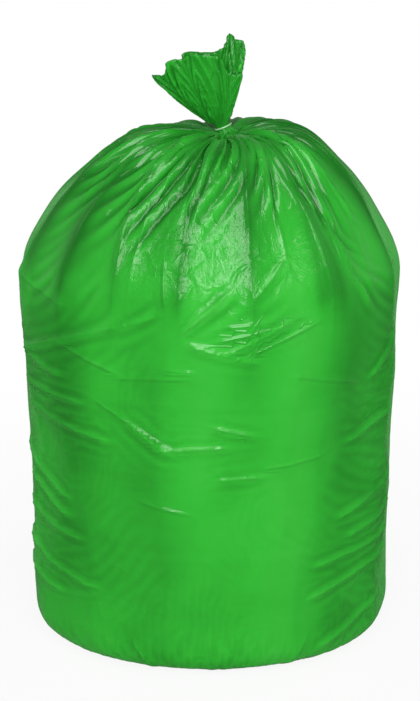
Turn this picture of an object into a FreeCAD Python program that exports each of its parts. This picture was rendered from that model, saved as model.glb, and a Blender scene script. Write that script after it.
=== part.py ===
import FreeCAD, Part
import math
import os

from FreeCAD import Vector

# A filled plastic refuse bag, gathered at the neck and closed with a thin tie.
# All sizes are millimetres. The origin is on the floor under the middle of the
# bag, +Z is up, and the front faces -Y. Azimuths are degrees from +X, seen from
# above. Film is thin and hardly stretches, so it lies in flat panels between folds:
# each solid here is a row of rings of fold points with flat panels between them.

# Body, filled
body_width = 438.0
body_depth = 404.0
widest_height = 405.0
waist_width = 418.0
waist_depth = 386.0
waist_height = 215.0
base_width = 414.0
base_depth = 376.0
base_corner_radius = 32.0
shoulder_fullness = 2.08
crown_height = 584.0
crown_radius = 54.0

# Neck, where the film is drawn together and tied
neck_diameter = 17.0
neck_length = 7.0
neck_foot_diameter = 22.0
neck_offset = 15.0
neck_dimple = 3.0
tie_height = 593.0
neck_lean = 22.0

# Gathers that run from the neck over the shoulder
gather_count = 28
gather_depth = 6.5
gather_crest_radius = 74.0
gather_reach = 215.0
gather_unevenness = 0.62
panels_per_gather = 4

# Main pleats, where the film was pulled to the tie. Each has an azimuth at the neck and
# at its far end, the radius of that end, and its lift, which is below zero in a valley
pleat_width = 13.0
pleats = (
    (212, 200, 168, 4.0), (217, 212, 168, 3.2), (232, 218, 148, 3.2), (240, 240, 189, 4.8),
    (252, 246, 196, 2.8), (258, 262, 178, -5.2), (264, 264, 153, 2.4), (271, 271, 121, -4.0),
    (277, 277, 116, -2.8), (290, 294, 171, 3.2), (300, 312, 173, -5.2), (318, 329, 171, 3.6),
    (325, 315, 186, 3.2), (345, 349, 157, 3.2), (20, 15, 160, 4.0), (40, 47, 173, -4.0),
    (62, 60, 146, 3.2), (85, 92, 180, 4.0), (110, 104, 137, -4.0), (130, 138, 171, 4.0),
    (152, 160, 160, 3.2), (172, 178, 173, -4.0), (190, 186, 153, 3.6),
)

# Creases in the slack film of the body: the azimuth and height of one end, the same of
# the other, and the lift. Each is there again half a turn round, on the hidden side
crease_width = 12.0
crease_fade = 14.0
creases = (
    (264, 409, 273, 437, 3.4), (266, 387, 281, 371, 2.4), (276, 382, 291, 409, 2.6),
    (247, 289, 256, 267, 2.6), (256, 267, 273, 272, 2.6), (273, 294, 281, 287, 3.0),
    (274, 234, 284, 235, 2.4), (205, 360, 252, 415, 2.2), (200, 355, 219, 338, 2.6),
    (197, 316, 226, 311, 2.6), (200, 289, 235, 272, 2.6), (187, 229, 217, 196, 3.2),
    (193, 203, 218, 174, 2.8), (190, 165, 224, 148, 2.8), (188, 124, 229, 96, 3.2),
    (187, 92, 214, 78, 2.8), (340, 283, 318, 262, 2.8), (341, 206, 315, 175, 3.2),
    (342, 172, 319, 150, 3.0), (340, 140, 307, 122, 2.8), (340, 118, 305, 86, 3.2),
    (194, 437, 221, 420, 2.0), (340, 371, 328, 333, 2.6), (315, 479, 322, 420, 2.2),
    (292, 470, 283, 440, 2.0), (339, 59, 309, 26, 2.6),
)

# Soft lumps of the filling, and puckers round the bottom corner
lump_depth = 2.0
lump_pitch = 565.0
pucker_depth = 1.6

# Mouth of the bag above the tie. Each lobe of its rim has an azimuth, a reach out
# from the tie, a rise above it, and how far the fold after it is drawn back in
film_edge = 1.2
mouth_floor_height = 24.0
mouth_floor_diameter = 13.6
mouth_flare = 0.75
mouth_lobes = (
    (22.0, 27.0, 96.0, 0.80),
    (72.0, 23.0, 107.0, 0.55),
    (146.0, 58.0, 82.0, 0.72),
    (181.0, 84.0, 60.0, 0.88),
    (206.0, 72.0, 80.0, 0.84),
    (231.0, 60.0, 90.0, 0.80),
    (264.0, 38.0, 84.0, 0.34),
    (338.0, 24.0, 61.0, 0.60),
)

# Tie: one strand round the neck, its two ends twisted together behind
strand_diameter = 1.8
strand_clearance = 0.15
strand_sides = 6
loop_opening = 80.0
twist_length = 20.0
twist_turns = 2.5
twist_gap = 0.2

# Where the rings of fold points lie: angles round the bottom corner and the shoulder, how
# tall the side's panels are, and shares of the mouth's height, outside and then inside
corner_angles = (0, 35, 62, 90)
shoulder_angles = (10, 21, 33, 45, 57, 68, 79, 90)
side_panel_height = 19.0
outside_shares = (0.1, 0.25, 0.5, 0.75, 1.0)
inside_shares = (1.0, 0.75, 0.5)
strand_step = 10
twist_steps_per_turn = 12

ring_points = gather_count * panels_per_gather
neck_radius = neck_diameter / 2
tie_centre = Vector(neck_offset, 0, tie_height)
neck_tilt = FreeCAD.Rotation(Vector(0, 1, 0), -neck_lean)


def smooth(share):
    """Rises from 0 to 1 with a soft start and end, and stays there outside that range."""
    share = min(1.0, max(0.0, share))
    return share * share * (3 - 2 * share)


def azimuths():
    """The azimuth of each fold line, in radians."""
    return [2 * math.pi * i / ring_points for i in range(ring_points)]


def gather_wave(azimuth):
    """Crests and valleys of the gathers, with every gather a little different."""
    drift = 0.60 * math.sin(3 * azimuth + 0.6) + 0.45 * math.sin(5 * azimuth + 2.1)
    strength = 1 - gather_unevenness * (0.5 + 0.5 * math.sin(7 * azimuth + 1.3))
    return strength * math.cos(gather_count * azimuth + drift)


def gather_amount(radius):
    """How deep the gathers are on a ring: shallow at the neck, deepest on the crown, gone below."""
    near = smooth((radius - neck_radius) / (gather_crest_radius - neck_radius))
    far = 1 - smooth((radius - gather_crest_radius) / (gather_reach - gather_crest_radius))
    return gather_depth * near * far


def gather_puff(azimuth, radius):
    """All the gathers at a place on the shoulder, the even ones and the main pleats."""
    return gather_amount(radius) * gather_wave(azimuth) + pleat_lift(azimuth, radius)


def turn_between(azimuth, other):
    """The turn to one azimuth from another, the short way round."""
    return (azimuth - other + math.pi) % (2 * math.pi) - math.pi


def pleat_lift(azimuth, radius):
    """How far the main pleats lift the film at a place on the shoulder."""
    lift = 0
    for neck_azimuth, end_azimuth, end_radius, crest in pleats:
        share = radius / end_radius
        middle = neck_azimuth + (end_azimuth - neck_azimuth) * min(1, share)
        across = turn_between(azimuth, math.radians(middle)) * radius
        fade = smooth(radius / gather_crest_radius) * (1 - smooth((share - 0.75) / 0.3))
        lift += crest * fade * math.exp(-((across / pleat_width) ** 2))
    return lift


def crease_lift(azimuth, height):
    """How far the creases lift the film at a place on the body."""
    lift = 0
    radius = body_width / 2
    for near_azimuth, near_height, far_azimuth, far_height, depth in creases:
        run = math.radians(far_azimuth - near_azimuth) * radius
        rise = far_height - near_height
        size = math.hypot(run, rise)
        up = height - near_height
        for start in (near_azimuth, near_azimuth + 180):
            right = turn_between(azimuth, math.radians(start)) * radius
            along = (right * run + up * rise) / size
            across = (up * run - right * rise) / size
            past_end = max(0, -along, along - size)
            lift += depth * math.exp(-((across / crease_width) ** 2) - (past_end / crease_fade) ** 2)
    return lift


def slack(azimuth, height):
    """Soft lumps of the filling, and the creases over them."""
    turn = 2 * math.pi * height / lump_pitch
    lumps = math.sin(2 * azimuth + turn) + 0.8 * math.sin(4 * azimuth - 1.5 * turn)
    lumps += 0.6 * math.sin(6 * azimuth + 2.6 * turn)
    return lump_depth * lumps + crease_lift(azimuth, height)


def puckers(azimuth):
    """Small tucks where the film turns under the filling, strongest at the front and back."""
    return pucker_depth * math.sin(azimuth) ** 2 * math.cos(gather_count * azimuth)


def body_ring(half_width, half_depth, height, out, up, puff):
    """A ring of the body; out and up are the shares of its normal, which its puff follows."""
    climb = max(0.0, (height - widest_height) / (crown_height - widest_height))
    shift = neck_offset * climb**5
    radius = (half_width + half_depth) / 2
    points = []
    for azimuth in azimuths():
        raised = puff(azimuth)
        swell = 1 + raised * out / radius
        x = shift + half_width * swell * math.cos(azimuth)
        y = half_depth * swell * math.sin(azimuth)
        points.append(Vector(x, y, height + raised * up))
    return points


def base_rings():
    """The flat foot and the rounded corner above it, which is puckered."""
    rings = []
    for degrees in corner_angles:
        inset = base_corner_radius * (1 - math.sin(math.radians(degrees)))
        height = base_corner_radius * (1 - math.cos(math.radians(degrees)))
        half_width = base_width / 2 - inset
        half_depth = base_depth / 2 - inset
        tucked = math.sin(math.radians(2 * degrees))
        rings.append(body_ring(half_width, half_depth, height, 1, 0, lambda az: tucked * puckers(az)))
    return rings


def side_rings():
    """The nearly upright side, from the corner through the waist to the widest ring."""
    stretches = (
        (base_corner_radius, base_width, base_depth, waist_height, waist_width, waist_depth),
        (waist_height, waist_width, waist_depth, widest_height, body_width, body_depth),
    )
    rings = []
    for low, low_width, low_depth, high, high_width, high_depth in stretches:
        steps = math.ceil((high - low) / side_panel_height)
        for step in range(1, steps + 1):
            ease = smooth(step / steps)
            height = low + (high - low) * step / steps
            half_width = (low_width + ease * (high_width - low_width)) / 2
            half_depth = (low_depth + ease * (high_depth - low_depth)) / 2
            rings.append(body_ring(half_width, half_depth, height, 1, 0, lambda az: slack(az, height)))
    return rings


def shoulder_rings():
    """The shoulder and crown, a full quarter of an oval in section, with the gathers on it."""
    rings = []
    for degrees in shoulder_angles:
        out = abs(math.cos(math.radians(degrees))) ** (2 / shoulder_fullness)
        up = math.sin(math.radians(degrees)) ** (2 / shoulder_fullness)
        half_width = crown_radius + out * (body_width / 2 - crown_radius)
        half_depth = crown_radius + out * (body_depth / 2 - crown_radius)
        height = widest_height + up * (crown_height - widest_height)
        radius = (half_width + half_depth) / 2
        puff = lambda az: gather_puff(az, radius) + out * slack(az, height)
        rings.append(body_ring(half_width, half_depth, height, out, up, puff))
    return rings


def neck_ring(radius, rise):
    """A round ring of the leaning neck, at a rise above or below the tie."""
    points = []
    for azimuth in azimuths():
        level = Vector(radius * math.cos(azimuth), radius * math.sin(azimuth), rise)
        points.append(tie_centre + neck_tilt.multVec(level))
    return points


def between(low_ring, high_ring, share, lift=0.0):
    """The ring at a share of the way from one ring to another, with gathers lifted up on it."""
    points = []
    for azimuth, low, high in zip(azimuths(), low_ring, high_ring):
        points.append(low + (high - low) * share + Vector(0, 0, lift * gather_wave(azimuth)))
    return points


def neck_rings(crown):
    """From the crown down into the dimple round the neck, and up the neck past the tie."""
    foot = neck_ring(neck_foot_diameter / 2, -neck_length)
    dimple = between(crown, foot, 0.5, lift=gather_depth / 4)
    dimple = [point - Vector(0, 0, neck_dimple) for point in dimple]
    return [dimple, foot, neck_ring(neck_radius, -neck_length / 2), neck_ring(neck_radius, neck_length / 2)]


def rim_ring():
    """The mouth's rim, out round each lobe and back in at each fold, as one closed line."""
    corners = []
    for k, (azimuth, reach, rise, fold) in enumerate(mouth_lobes):
        next_azimuth, next_reach, next_rise, _ = mouth_lobes[(k + 1) % len(mouth_lobes)]
        middle = azimuth + ((next_azimuth - azimuth) % 360) / 2
        drawn_in = fold * (reach + next_reach) / 2
        for angle, out, up in ((azimuth, reach, rise), (middle, drawn_in, min(rise, next_rise))):
            turn = math.radians(angle)
            corners.append(tie_centre + Vector(out * math.cos(turn), out * math.sin(turn), up))
    count = len(corners)
    rim = Part.BSplineCurve()
    rim.interpolate(Points=corners, PeriodicFlag=True, Parameters=list(range(count + 1)))
    return [rim.value(count * i / ring_points) for i in range(ring_points)]


def mouth_ring(foot_ring, rim, share, inset=0.0):
    """A ring of the mouth at a share of its height, drawn in by the film's edge if asked."""
    points = []
    for foot, edge in zip(foot_ring, rim):
        point = foot + (edge - foot) * share**mouth_flare
        point.z = foot.z + (edge.z - foot.z) * share
        points.append(point)
    moved = []
    for i, point in enumerate(points):
        along = points[(i + 1) % ring_points] - points[i - 1]
        inwards = Vector(-along.y, along.x, 0)
        inwards.normalize()
        moved.append(point + inwards * inset)
    return moved


def mouth_rings(neck_top):
    """The outside of the mouth up to its rim, then its inside down to the drawn-together floor."""
    rim = rim_ring()
    floor = neck_ring(mouth_floor_diameter / 2, mouth_floor_height)
    outside = [mouth_ring(neck_top, rim, share) for share in outside_shares]
    inside = [mouth_ring(neck_top, rim, share, film_edge) for share in inside_shares]
    return outside + inside + [floor]


def bag_rings():
    """Every ring of the bag, from its foot up the outside and down into its mouth."""
    rings = base_rings() + side_rings() + shoulder_rings()
    rings += neck_rings(rings[-1])
    return rings + mouth_rings(rings[-1])


def strand_path():
    """Points along the strand: one twisted end, round the front of the neck, the other end."""
    strand_radius = strand_diameter / 2
    loop_radius = neck_radius + strand_clearance + strand_radius
    pair_radius = strand_radius + twist_gap / 2
    twist_start = loop_radius + 2 * strand_diameter
    steps = round(twist_steps_per_turn * twist_turns)
    tail = []
    for step in range(steps + 1):
        turn = 2 * math.pi * twist_turns * step / steps
        back = twist_start + twist_length * step / steps
        tail.append((pair_radius * math.cos(turn), back, pair_radius * math.sin(turn)))
    first_end = [Vector(x, y, z) for x, y, z in reversed(tail)]
    second_end = [Vector(-x, y, -z) for x, y, z in tail]
    loop = []
    loop_steps = round((360 - loop_opening) / strand_step)
    for step in range(loop_steps + 1):
        turn = math.radians(90 - loop_opening / 2 - step * (360 - loop_opening) / loop_steps)
        loop.append(Vector(loop_radius * math.cos(turn), loop_radius * math.sin(turn), 0))
    return first_end + loop + second_end


def strand_rings():
    """The strand's section carried along its path without twisting."""
    path = strand_path()
    normal = Vector(0, 0, 1)
    rings = []
    for i, point in enumerate(path):
        along = path[min(i + 1, len(path) - 1)] - path[max(i - 1, 0)]
        along.normalize()
        normal = normal - along * normal.dot(along)
        normal.normalize()
        beside = along.cross(normal)
        ring = []
        for side in range(strand_sides):
            turn = 2 * math.pi * side / strand_sides
            offset = normal * math.cos(turn) + beside * math.sin(turn)
            local = point + offset * strand_diameter / 2
            ring.append(tie_centre + neck_tilt.multVec(local))
        rings.append(ring)
    return rings


def panel(*corners):
    """One flat panel."""
    return Part.Face(Part.makePolygon(list(corners) + [corners[0]]))


def solid_through(rings):
    """The solid with flat panels between neighbouring rings, closed flat across both ends."""
    faces = [panel(*rings[0]), panel(*rings[-1])]
    for low, high in zip(rings, rings[1:]):
        for i in range(len(low)):
            j = (i + 1) % len(low)
            if low[i].distanceToPoint(high[j]) < low[j].distanceToPoint(high[i]):
                halves = (low[i], low[j], high[j]), (low[i], high[j], high[i])
            else:
                halves = (low[i], low[j], high[i]), (low[j], high[j], high[i])
            faces += [panel(*half) for half in halves]
    shell = Part.makeShell(faces)
    shell.sewShape()
    solid = Part.Solid(shell)
    if solid.Volume < 0:
        solid.reverse()
    return solid


def main():
    os.makedirs("parts", exist_ok=True)
    for name, rings in (("bag", bag_rings()), ("neck_tie", strand_rings())):
        solid = solid_through(rings)
        solid.exportStep(f"parts/{name}.step")
        box = solid.BoundBox
        print(name, solid.ShapeType, solid.isValid(), round(solid.Volume / 1e6, 3), "litres")
        print("  x", round(box.XMin, 1), round(box.XMax, 1), "y", round(box.YMin, 1), round(box.YMax, 1))
        print("  z", round(box.ZMin, 1), round(box.ZMax, 1))


main()
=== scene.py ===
# %% [markdown]
# # A filled and tied refuse bag
# A green polyethylene bag stands full on the floor. Its film is gathered at the neck,
# held by a thin tie, and the open mouth fans out above it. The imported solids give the
# sizes and the place of everything, so the first step loads them and keeps their box.

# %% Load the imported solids
import math

import bmesh
import bpy
import numpy as np
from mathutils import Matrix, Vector


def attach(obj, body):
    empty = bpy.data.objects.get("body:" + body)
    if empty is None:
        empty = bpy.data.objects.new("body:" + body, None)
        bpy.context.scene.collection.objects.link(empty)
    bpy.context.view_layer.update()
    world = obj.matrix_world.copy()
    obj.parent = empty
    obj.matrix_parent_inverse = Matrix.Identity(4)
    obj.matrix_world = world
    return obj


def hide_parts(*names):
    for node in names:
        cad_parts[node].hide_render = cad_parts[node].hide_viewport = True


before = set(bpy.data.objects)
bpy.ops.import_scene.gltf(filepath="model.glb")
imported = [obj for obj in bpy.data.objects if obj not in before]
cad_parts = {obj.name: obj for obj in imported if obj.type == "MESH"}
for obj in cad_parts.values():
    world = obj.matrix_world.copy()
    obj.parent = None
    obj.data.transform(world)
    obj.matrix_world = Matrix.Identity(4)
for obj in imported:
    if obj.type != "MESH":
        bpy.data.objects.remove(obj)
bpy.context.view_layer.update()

# %% [markdown]
# ## The camera
# The photograph looks slightly down on the bag from a few metres away, so its bottom
# edge curves and its far shoulder shows behind the neck. A long lens at that distance
# gives the same mild perspective. The lens is worked out from how many millimetres of
# the bag one pixel covers.

# %% Place the camera
PHOTO_HEIGHT = 701
CAMERA_ELEVATION = math.radians(15)
CAMERA_DISTANCE = 2.6
METRES_PER_PIXEL = 0.001164
LOOK_AT = Vector((0.0, 0.0, 0.330))


def add_camera():
    """Makes the camera at the photograph's viewing angle and framing."""
    data = bpy.data.cameras.new("camera")
    data.sensor_width = 36.0
    data.lens = data.sensor_width * CAMERA_DISTANCE / METRES_PER_PIXEL / PHOTO_HEIGHT
    camera = bpy.data.objects.new("camera", data)
    back = Vector((0.0, -math.cos(CAMERA_ELEVATION), math.sin(CAMERA_ELEVATION)))
    camera.location = LOOK_AT + back * CAMERA_DISTANCE
    camera.rotation_mode = "QUATERNION"
    camera.rotation_quaternion = (-back).to_track_quat("-Z", "Y")
    bpy.context.scene.collection.objects.link(camera)
    bpy.context.scene.camera = camera
    return camera


camera = add_camera()
print("lens in mm:", round(camera.data.lens, 1))

# %% [markdown]
# ## The line of the body
# Seen from the side, the filled bag is a barrel: a flat foot, a rounded corner, a side
# that swells towards the top, and a full shoulder that runs in to the neck. One function
# follows that line by the length of film from the middle of the foot, because film bends
# easily and hardly stretches, so its length is what stays true.

# %% Follow the line of the body
BODY_WIDTH = 0.438
BODY_DEPTH = 0.404
WIDEST_HEIGHT = 0.405
WAIST_WIDTH = 0.418
WAIST_DEPTH = 0.386
WAIST_HEIGHT = 0.215
BASE_WIDTH = 0.414
BASE_DEPTH = 0.376
CORNER_RADIUS = 0.032
SHOULDER_FULLNESS = 2.08
CROWN_HEIGHT = 0.584
CROWN_RADIUS = 0.054
NECK_RADIUS = 0.0085
NECK_FOOT_RADIUS = 0.011
NECK_OFFSET = 0.015
NECK_LEAN = math.radians(22)
TIE_HEIGHT = 0.593
NECK_HALF_LENGTH = 0.0035
CROWN_DIP = 0.003


def smooth(share):
    """Rises from 0 to 1 with a soft start and end."""
    share = np.clip(share, 0.0, 1.0)
    return share * share * (3 - 2 * share)


def past(values, level, over):
    """Rises from 0 to 1 where the values pass a level, over a width."""
    return smooth((values - level) / over)


def bell(off, width):
    """1 in the middle and falling off softly to both sides."""
    return np.exp(-((off / width) ** 2))


def body_line():
    """Stations up the body: half width, half depth and height."""
    rows = [(0.0, 0.0, 0.0)]
    for angle in np.linspace(0, math.pi / 2, 9):
        inset = CORNER_RADIUS * (1 - math.sin(angle))
        height = CORNER_RADIUS * (1 - math.cos(angle))
        rows.append((BASE_WIDTH / 2 - inset, BASE_DEPTH / 2 - inset, height))
    spans = (
        (CORNER_RADIUS, BASE_WIDTH, BASE_DEPTH, WAIST_HEIGHT, WAIST_WIDTH, WAIST_DEPTH),
        (WAIST_HEIGHT, WAIST_WIDTH, WAIST_DEPTH, WIDEST_HEIGHT, BODY_WIDTH, BODY_DEPTH),
    )
    for low, low_width, low_depth, high, high_width, high_depth in spans:
        for share in np.linspace(0, 1, 17)[1:]:
            ease = float(smooth(share))
            half_width = (low_width + ease * (high_width - low_width)) / 2
            half_depth = (low_depth + ease * (high_depth - low_depth)) / 2
            rows.append((half_width, half_depth, low + share * (high - low)))
    for angle in np.linspace(0, math.pi / 2, 41)[1:]:
        out = max(0.0, math.cos(angle)) ** (2 / SHOULDER_FULLNESS)
        up = math.sin(angle) ** (2 / SHOULDER_FULLNESS)
        half_width = CROWN_RADIUS + out * (BODY_WIDTH / 2 - CROWN_RADIUS)
        half_depth = CROWN_RADIUS + out * (BODY_DEPTH / 2 - CROWN_RADIUS)
        rows.append((half_width, half_depth, WIDEST_HEIGHT + up * (CROWN_HEIGHT - WIDEST_HEIGHT)))
    foot_height = TIE_HEIGHT - 2 * NECK_HALF_LENGTH
    for share in np.linspace(0, 1, 13)[1:]:
        radius = CROWN_RADIUS + share * (NECK_FOOT_RADIUS - CROWN_RADIUS)
        dip = CROWN_DIP * math.sin(share * math.pi)
        rows.append((radius, radius, CROWN_HEIGHT + share * (foot_height - CROWN_HEIGHT) - dip))
    rows.append((NECK_RADIUS, NECK_RADIUS, TIE_HEIGHT - NECK_HALF_LENGTH))
    rows.append((NECK_RADIUS, NECK_RADIUS, TIE_HEIGHT))
    return np.array(rows)


LINE = body_line()
LINE_RADIUS = (LINE[:, 0] + LINE[:, 1]) / 2
LINE_STEPS = np.hypot(np.diff(LINE_RADIUS), np.diff(LINE[:, 2]))
LINE_LENGTH = np.concatenate(([0.0], np.cumsum(LINE_STEPS)))
WIDEST_LENGTH = float(LINE_LENGTH[np.argmax(LINE_RADIUS)])
print("film from the foot's middle to the tie, metres:", round(float(LINE_LENGTH[-1]), 3))

# %% [markdown]
# ## The line of the mouth
# Above the tie the film opens again into a fan of lobes. Its rim runs out round each
# lobe and back in at the fold after it, so a few points in turn, and a smooth closed
# spline through them, draw it. The neck leans to the left, as the film was pulled there.

# %% Draw the rim of the mouth
# A lobe: azimuth in degrees, reach and rise in metres, and how far out the fold after it stays.
MOUTH_LOBES = (
    (22.0, 0.027, 0.096, 0.80),
    (72.0, 0.023, 0.107, 0.55),
    (146.0, 0.058, 0.082, 0.72),
    (181.0, 0.084, 0.060, 0.88),
    (206.0, 0.072, 0.080, 0.84),
    (231.0, 0.060, 0.090, 0.80),
    (264.0, 0.038, 0.084, 0.34),
    (338.0, 0.024, 0.061, 0.60),
)
MOUTH_FLARE = 0.75
SPOKES = 360
TIE_CENTRE = np.array((NECK_OFFSET, 0.0, TIE_HEIGHT))
AROUND = np.arange(SPOKES) * 2 * math.pi / SPOKES


def leaning_ring(radii, rises, share=1.0):
    """Rings round the leaning neck; with a smaller share they lean less."""
    lean = -NECK_LEAN * share
    x, y = radii * np.cos(AROUND), radii * np.sin(AROUND)
    leaning = x * np.cos(lean) + rises * np.sin(lean)
    upward = rises * np.cos(lean) - x * np.sin(lean)
    return TIE_CENTRE + np.stack([leaning, y, upward], axis=-1)


def rim_corners():
    """The point of each lobe, and of the fold between it and the next."""
    corners = []
    for k, (azimuth, reach, rise, fold) in enumerate(MOUTH_LOBES):
        next_azimuth, next_reach, next_rise, _ = MOUTH_LOBES[(k + 1) % len(MOUTH_LOBES)]
        middle = azimuth + ((next_azimuth - azimuth) % 360) / 2
        drawn_in = fold * (reach + next_reach) / 2
        for angle, out, up in ((azimuth, reach, rise), (middle, drawn_in, min(rise, next_rise))):
            turn = math.radians(angle)
            corners.append((out * math.cos(turn), out * math.sin(turn), up))
    return TIE_CENTRE + np.array(corners)


def closed_spline(corners, count):
    """Points on a smooth closed curve through the corners."""
    size = len(corners)
    ahead, behind = np.roll(np.eye(size), 1, axis=1), np.roll(np.eye(size), -1, axis=1)
    bends = 6 * (ahead + behind - 2 * np.eye(size)) @ corners
    bends = np.linalg.solve(4 * np.eye(size) + ahead + behind, bends)
    along = np.arange(count) * size / count
    start = along.astype(int)
    end = (start + 1) % size
    b = (along - start)[:, None]
    a = 1 - b
    bent = ((a**3 - a) * bends[start] + (b**3 - b) * bends[end]) / 6
    return a * corners[start] + b * corners[end] + bent


rim = closed_spline(rim_corners(), SPOKES)
rim_length = np.linalg.norm(np.roll(rim, -1, 0) - rim, axis=1).sum()
print("length of the rim in metres:", round(float(rim_length), 3))

# %% [markdown]
# ## Where the film would lie without a fold
# Before the film is creased, it needs a smooth surface to lie on: the filling's own line,
# the drawn-in neck, and the open mouth. It is kept as a grid, a row for each ring round
# the bag and a column for each line up it, because that is how the film itself was laid.

# %% Lay out the smooth film
RING_PITCH = 0.0041
MOUTH_RINGS = 24
FOOT_EDGE = float(LINE_LENGTH[1])
TIE_LENGTH = float(LINE_LENGTH[-1])
BODY_RINGS = round((TIE_LENGTH - FOOT_EDGE) / RING_PITCH)


def along_line(column, lengths):
    """A column of the body's line, read at the given film lengths."""
    return np.interp(lengths, LINE_LENGTH, LINE[:, column])


def smooth_body(lengths):
    """Rings of the body from the foot's edge to the tie, with no fold in them."""
    half_width, half_depth, height = (along_line(column, lengths)[:, None] for column in (0, 1, 2))
    climb = np.clip((height - WIDEST_HEIGHT) / (CROWN_HEIGHT - WIDEST_HEIGHT), 0, 1)
    x = NECK_OFFSET * climb**5 + half_width * np.cos(AROUND)
    y = half_depth * np.sin(AROUND)
    body = np.stack([x, y, height + 0 * AROUND], axis=-1)
    drawn_in = smooth((CROWN_RADIUS - half_width) / (CROWN_RADIUS - NECK_FOOT_RADIUS)) * (climb >= 1)
    neck = leaning_ring(half_width, height - TIE_HEIGHT, drawn_in)
    return np.where((climb >= 1)[..., None], neck, body)


def smooth_mouth(shares, rim):
    """Rings of the mouth from the tie to its rim, with no pleat in them."""
    foot = leaning_ring(NECK_RADIUS, NECK_HALF_LENGTH)
    out = shares[:, None, None] ** MOUTH_FLARE
    up = shares[:, None, None]
    reach = rim - foot
    return np.concatenate([foot[:, :2] + reach[:, :2] * out, foot[:, 2:] + reach[:, 2:] * up], axis=-1)


def outward(film):
    """The direction that each point of the film faces."""
    around = np.roll(film, -1, 1) - np.roll(film, 1, 1)
    upward = np.gradient(film, axis=0)
    facing = np.cross(around, upward)
    return facing / np.maximum(np.linalg.norm(facing, axis=-1, keepdims=True), 1e-12)


SHOULDER_SAG = 0.013
MOUTH_LENGTH = 0.11
body_lengths = np.linspace(FOOT_EDGE, TIE_LENGTH, BODY_RINGS + 1)
mouth_shares = np.linspace(0, 1, MOUTH_RINGS + 1)
base = np.concatenate([smooth_body(body_lengths), smooth_mouth(mouth_shares, rim)])
RINGS = len(base)
sagging = past(base[..., 2], 0.43, 0.07) * past(np.hypot(base[..., 0], base[..., 1]), 0.09, 0.06)
on_body = np.arange(RINGS)[:, None] <= BODY_RINGS
base = base - (SHOULDER_SAG * sagging * on_body)[..., None] * outward(base)
radius = np.hypot(base[..., 0] - NECK_OFFSET * (base[..., 2] > WIDEST_HEIGHT), base[..., 1])
height = base[..., 2]
azimuth = AROUND + np.zeros((RINGS, 1))
film_length = np.concatenate([body_lengths, TIE_LENGTH + MOUTH_LENGTH * mouth_shares])
film_length = film_length[:, None] + 0 * AROUND
in_mouth = np.arange(RINGS)[:, None] > BODY_RINGS + 0 * AROUND
print("rings and spokes of the film:", base.shape[:2])

# %% [markdown]
# ## How much more film there is than room
# Folds come from film that is longer than the surface under it. So each place gets an
# excess: across the shoulder because the whole mouth is drawn into a thumb's width, along
# narrow lines where the photograph shows a pleat or a crease, and slanting at the two
# sides, where a flat bag's edges hang slack on round filling. Each line is a few numbers.

# %% List the pleats and creases
# A pleat: azimuth at the neck and at its end in degrees, radius at its end and crest in mm.
PLEATS = (
    (212, 200, 168, 4.0), (217, 212, 168, 3.2), (232, 218, 148, 3.2), (240, 240, 189, 4.8),
    (252, 246, 196, 2.8), (258, 262, 178, -5.2), (264, 264, 153, 2.4), (271, 271, 121, -4.0),
    (277, 277, 116, -2.8), (290, 294, 171, 3.2), (300, 312, 173, -5.2), (318, 329, 171, 3.6),
    (325, 315, 186, 3.2), (345, 349, 157, 3.2), (20, 15, 160, 4.0), (40, 47, 173, -4.0),
    (62, 60, 146, 3.2), (85, 92, 180, 4.0), (110, 104, 137, -4.0), (130, 138, 171, 4.0),
    (152, 160, 160, 3.2), (172, 178, 173, -4.0), (190, 186, 153, 3.6),
)
# A crease: azimuth and height of its near and far end, in degrees and mm, and crest in mm.
CREASES = (
    (264, 409, 273, 437, 3.4), (266, 387, 281, 371, 2.4), (276, 382, 291, 409, 2.6),
    (247, 289, 256, 267, 2.6), (256, 267, 273, 272, 2.6), (273, 294, 281, 287, 3.0),
    (274, 234, 284, 235, 2.4), (205, 360, 252, 415, 2.2), (200, 355, 219, 338, 2.6),
    (197, 316, 226, 311, 2.6), (200, 289, 235, 272, 2.6), (187, 229, 217, 196, 3.2),
    (193, 203, 218, 174, 2.8), (190, 165, 224, 148, 2.8), (188, 124, 229, 96, 3.2),
    (187, 92, 214, 78, 2.8), (340, 283, 318, 262, 2.8), (341, 206, 315, 175, 3.2),
    (342, 172, 319, 150, 3.0), (340, 140, 307, 122, 2.8), (340, 118, 305, 86, 3.2),
    (194, 437, 221, 420, 2.0), (340, 371, 328, 333, 2.6), (315, 479, 322, 420, 2.2),
    (292, 470, 283, 440, 2.0), (339, 59, 309, 26, 2.6),
)
print("pleats and creases listed:", len(PLEATS), len(CREASES))

# %% [markdown]
# Real film never folds evenly. A few broad seeded waves added up give an unevenness like
# clouds, and it varies every kind of fold below, the same way in each run.

# %% Cloudy unevenness
CLOUD_WAVES = 24
CLOUD_REACH = 1.6


def cloud(waves_round, waves_up, seed):
    """A soft seeded unevenness over the whole film, about -1 to 1."""
    dice = np.random.default_rng(seed)
    up = np.linspace(0, 1, RINGS)[:, None]
    total = np.zeros((RINGS, SPOKES))
    for _ in range(CLOUD_WAVES):
        turns = dice.integers(0, waves_round + 1) * azimuth
        climb = 2 * math.pi * dice.uniform(-waves_up, waves_up) * up
        total += np.cos(turns + climb + dice.uniform(0, 2 * math.pi)) * dice.normal()
    return total / total.std() / CLOUD_REACH


def turn_between(angles, others):
    """The smaller turn from one azimuth to another, in radians."""
    return (angles - others + math.pi) % (2 * math.pi) - math.pi


print("clouds reach", round(float(cloud(9, 1, 3).max()), 2))

# %% [markdown]
# A pleat is a narrow run of spare film from the neck outwards. It widens on its way down
# and dies out at its end, as the film there has room to lie flat.

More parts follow.
